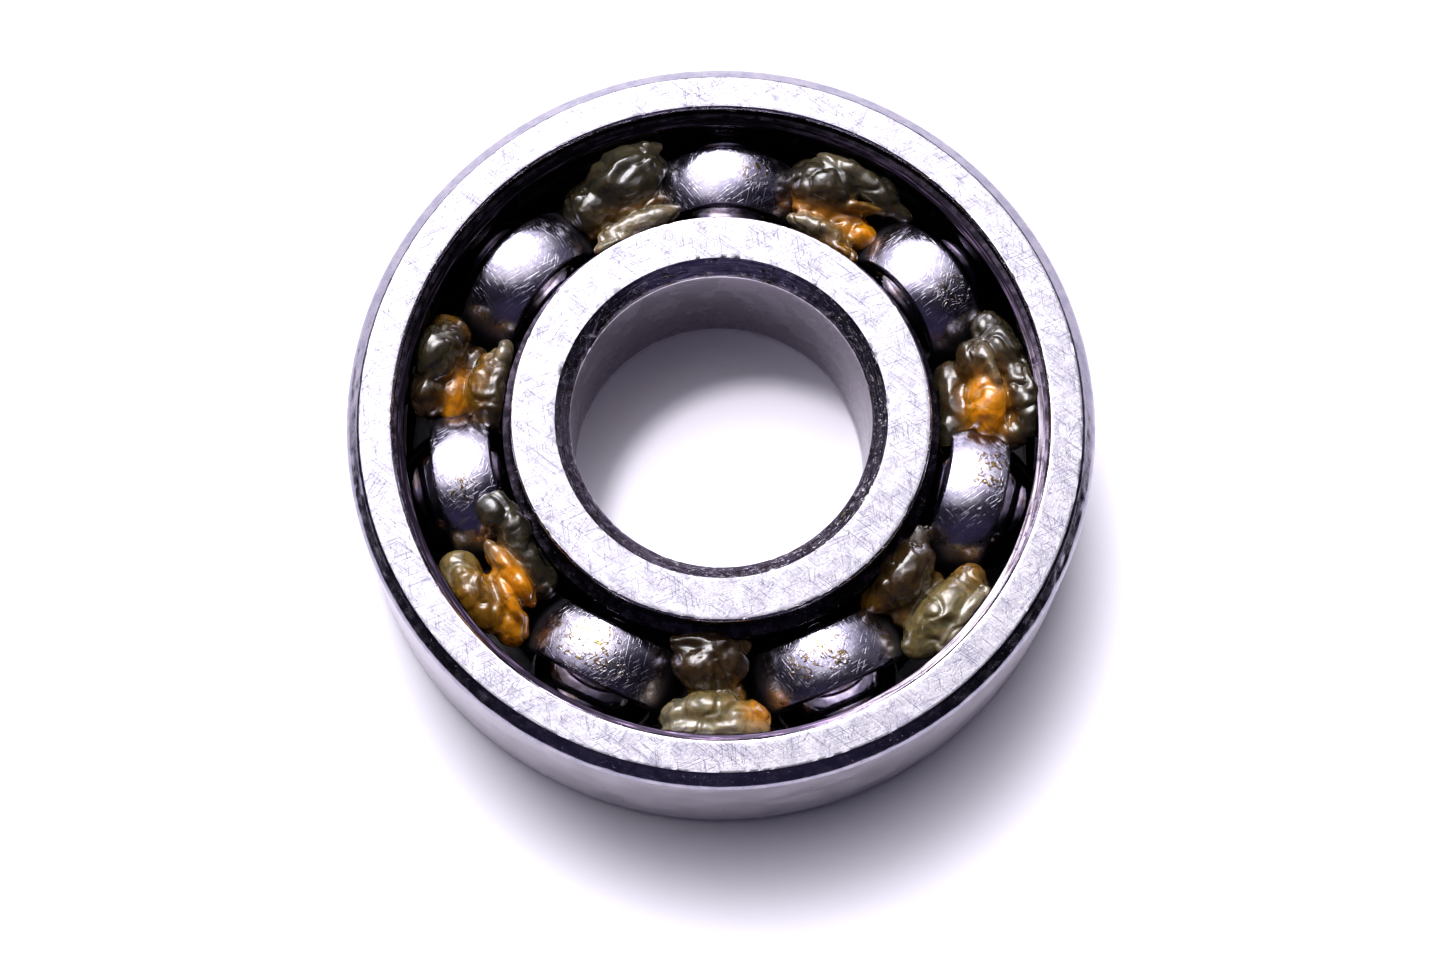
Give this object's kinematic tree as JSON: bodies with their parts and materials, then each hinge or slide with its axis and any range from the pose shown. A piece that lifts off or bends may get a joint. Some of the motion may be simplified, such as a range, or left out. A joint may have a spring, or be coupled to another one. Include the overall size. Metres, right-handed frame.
{
  "type": "ball bearing",
  "caption": "Open deep-groove ball bearing: two steel rings with seal grooves, steel balls in a riveted ribbon cage, and packs of amber grease between the balls.",
  "frame": {"origin": "centre of the bearing, on its axis, halfway between its two faces", "axes": "+Z along the bearing's axis, towards the face whose grease packs show; +X and +Y across it"},
  "size_m": [0.062, 0.062, 0.017],
  "materials": {
    "ring_steel": "satin",
    "ball_steel": "polished",
    "cage_steel": "satin",
    "rivet_steel": "satin",
    "grease": "gloss"
  },
  "bodies": {
    "outer_ring": {"outer_ring": "ring_steel"},
    "inner_ring": {"inner_ring": "ring_steel"},
    "cage": {"cage_upper": "cage_steel", "cage_lower": "cage_steel", "rivet_1": "rivet_steel", "rivet_2": "rivet_steel", "rivet_3": "rivet_steel", "rivet_4": "rivet_steel", "rivet_5": "rivet_steel", "rivet_6": "rivet_steel", "rivet_7": "rivet_steel", "grease_1": "grease", "grease_2": "grease", "grease_3": "grease", "grease_4": "grease", "grease_5": "grease", "grease_6": "grease", "grease_7": "grease"},
    "ball_1": {"ball_1": "ball_steel"},
    "ball_2": {"ball_2": "ball_steel"},
    "ball_3": {"ball_3": "ball_steel"},
    "ball_4": {"ball_4": "ball_steel"},
    "ball_5": {"ball_5": "ball_steel"},
    "ball_6": {"ball_6": "ball_steel"},
    "ball_7": {"ball_7": "ball_steel"}
  },
  "joints": [
    {"name": "inner_ring_spin", "type": "hinge", "parent": "outer_ring", "child": "inner_ring", "pos_m": [0, 0, 0], "axis": [0, 0, 1], "continuous": true},
    {"name": "cage_orbit", "type": "hinge", "parent": "outer_ring", "child": "cage", "pos_m": [0, 0, 0], "axis": [0, 0, 1], "continuous": true},
    {"name": "ball_1_spin", "type": "hinge", "parent": "cage", "child": "ball_1", "pos_m": [0.01681, 0.01381, 0], "axis": [0, 0, 1], "continuous": true},
    {"name": "ball_2_spin", "type": "hinge", "parent": "cage", "child": "ball_2", "pos_m": [-0.00031, 0.02175, 0], "axis": [0, 0, 1], "continuous": true},
    {"name": "ball_3_spin", "type": "hinge", "parent": "cage", "child": "ball_3", "pos_m": [-0.0172, 0.01331, 0], "axis": [0, 0, 1], "continuous": true},
    {"name": "ball_4_spin", "type": "hinge", "parent": "cage", "child": "ball_4", "pos_m": [-0.02113, -0.00515, 0], "axis": [0, 0, 1], "continuous": true},
    {"name": "ball_5_spin", "type": "hinge", "parent": "cage", "child": "ball_5", "pos_m": [-0.00915, -0.01973, 0], "axis": [0, 0, 1], "continuous": true},
    {"name": "ball_6_spin", "type": "hinge", "parent": "cage", "child": "ball_6", "pos_m": [0.00972, -0.01946, 0], "axis": [0, 0, 1], "continuous": true},
    {"name": "ball_7_spin", "type": "hinge", "parent": "cage", "child": "ball_7", "pos_m": [0.02127, -0.00453, 0], "axis": [0, 0, 1], "continuous": true}
  ],
  "couplings": [
    {"joint": "cage_orbit", "follows": "inner_ring_spin", "ratio": 0.36782},
    {"joint": "ball_1_spin", "follows": "inner_ring_spin", "ratio": -1.7591},
    {"joint": "ball_2_spin", "follows": "inner_ring_spin", "ratio": -1.7591},
    {"joint": "ball_3_spin", "follows": "inner_ring_spin", "ratio": -1.7591},
    {"joint": "ball_4_spin", "follows": "inner_ring_spin", "ratio": -1.7591},
    {"joint": "ball_5_spin", "follows": "inner_ring_spin", "ratio": -1.7591},
    {"joint": "ball_6_spin", "follows": "inner_ring_spin", "ratio": -1.7591},
    {"joint": "ball_7_spin", "follows": "inner_ring_spin", "ratio": -1.7591}
  ]
}
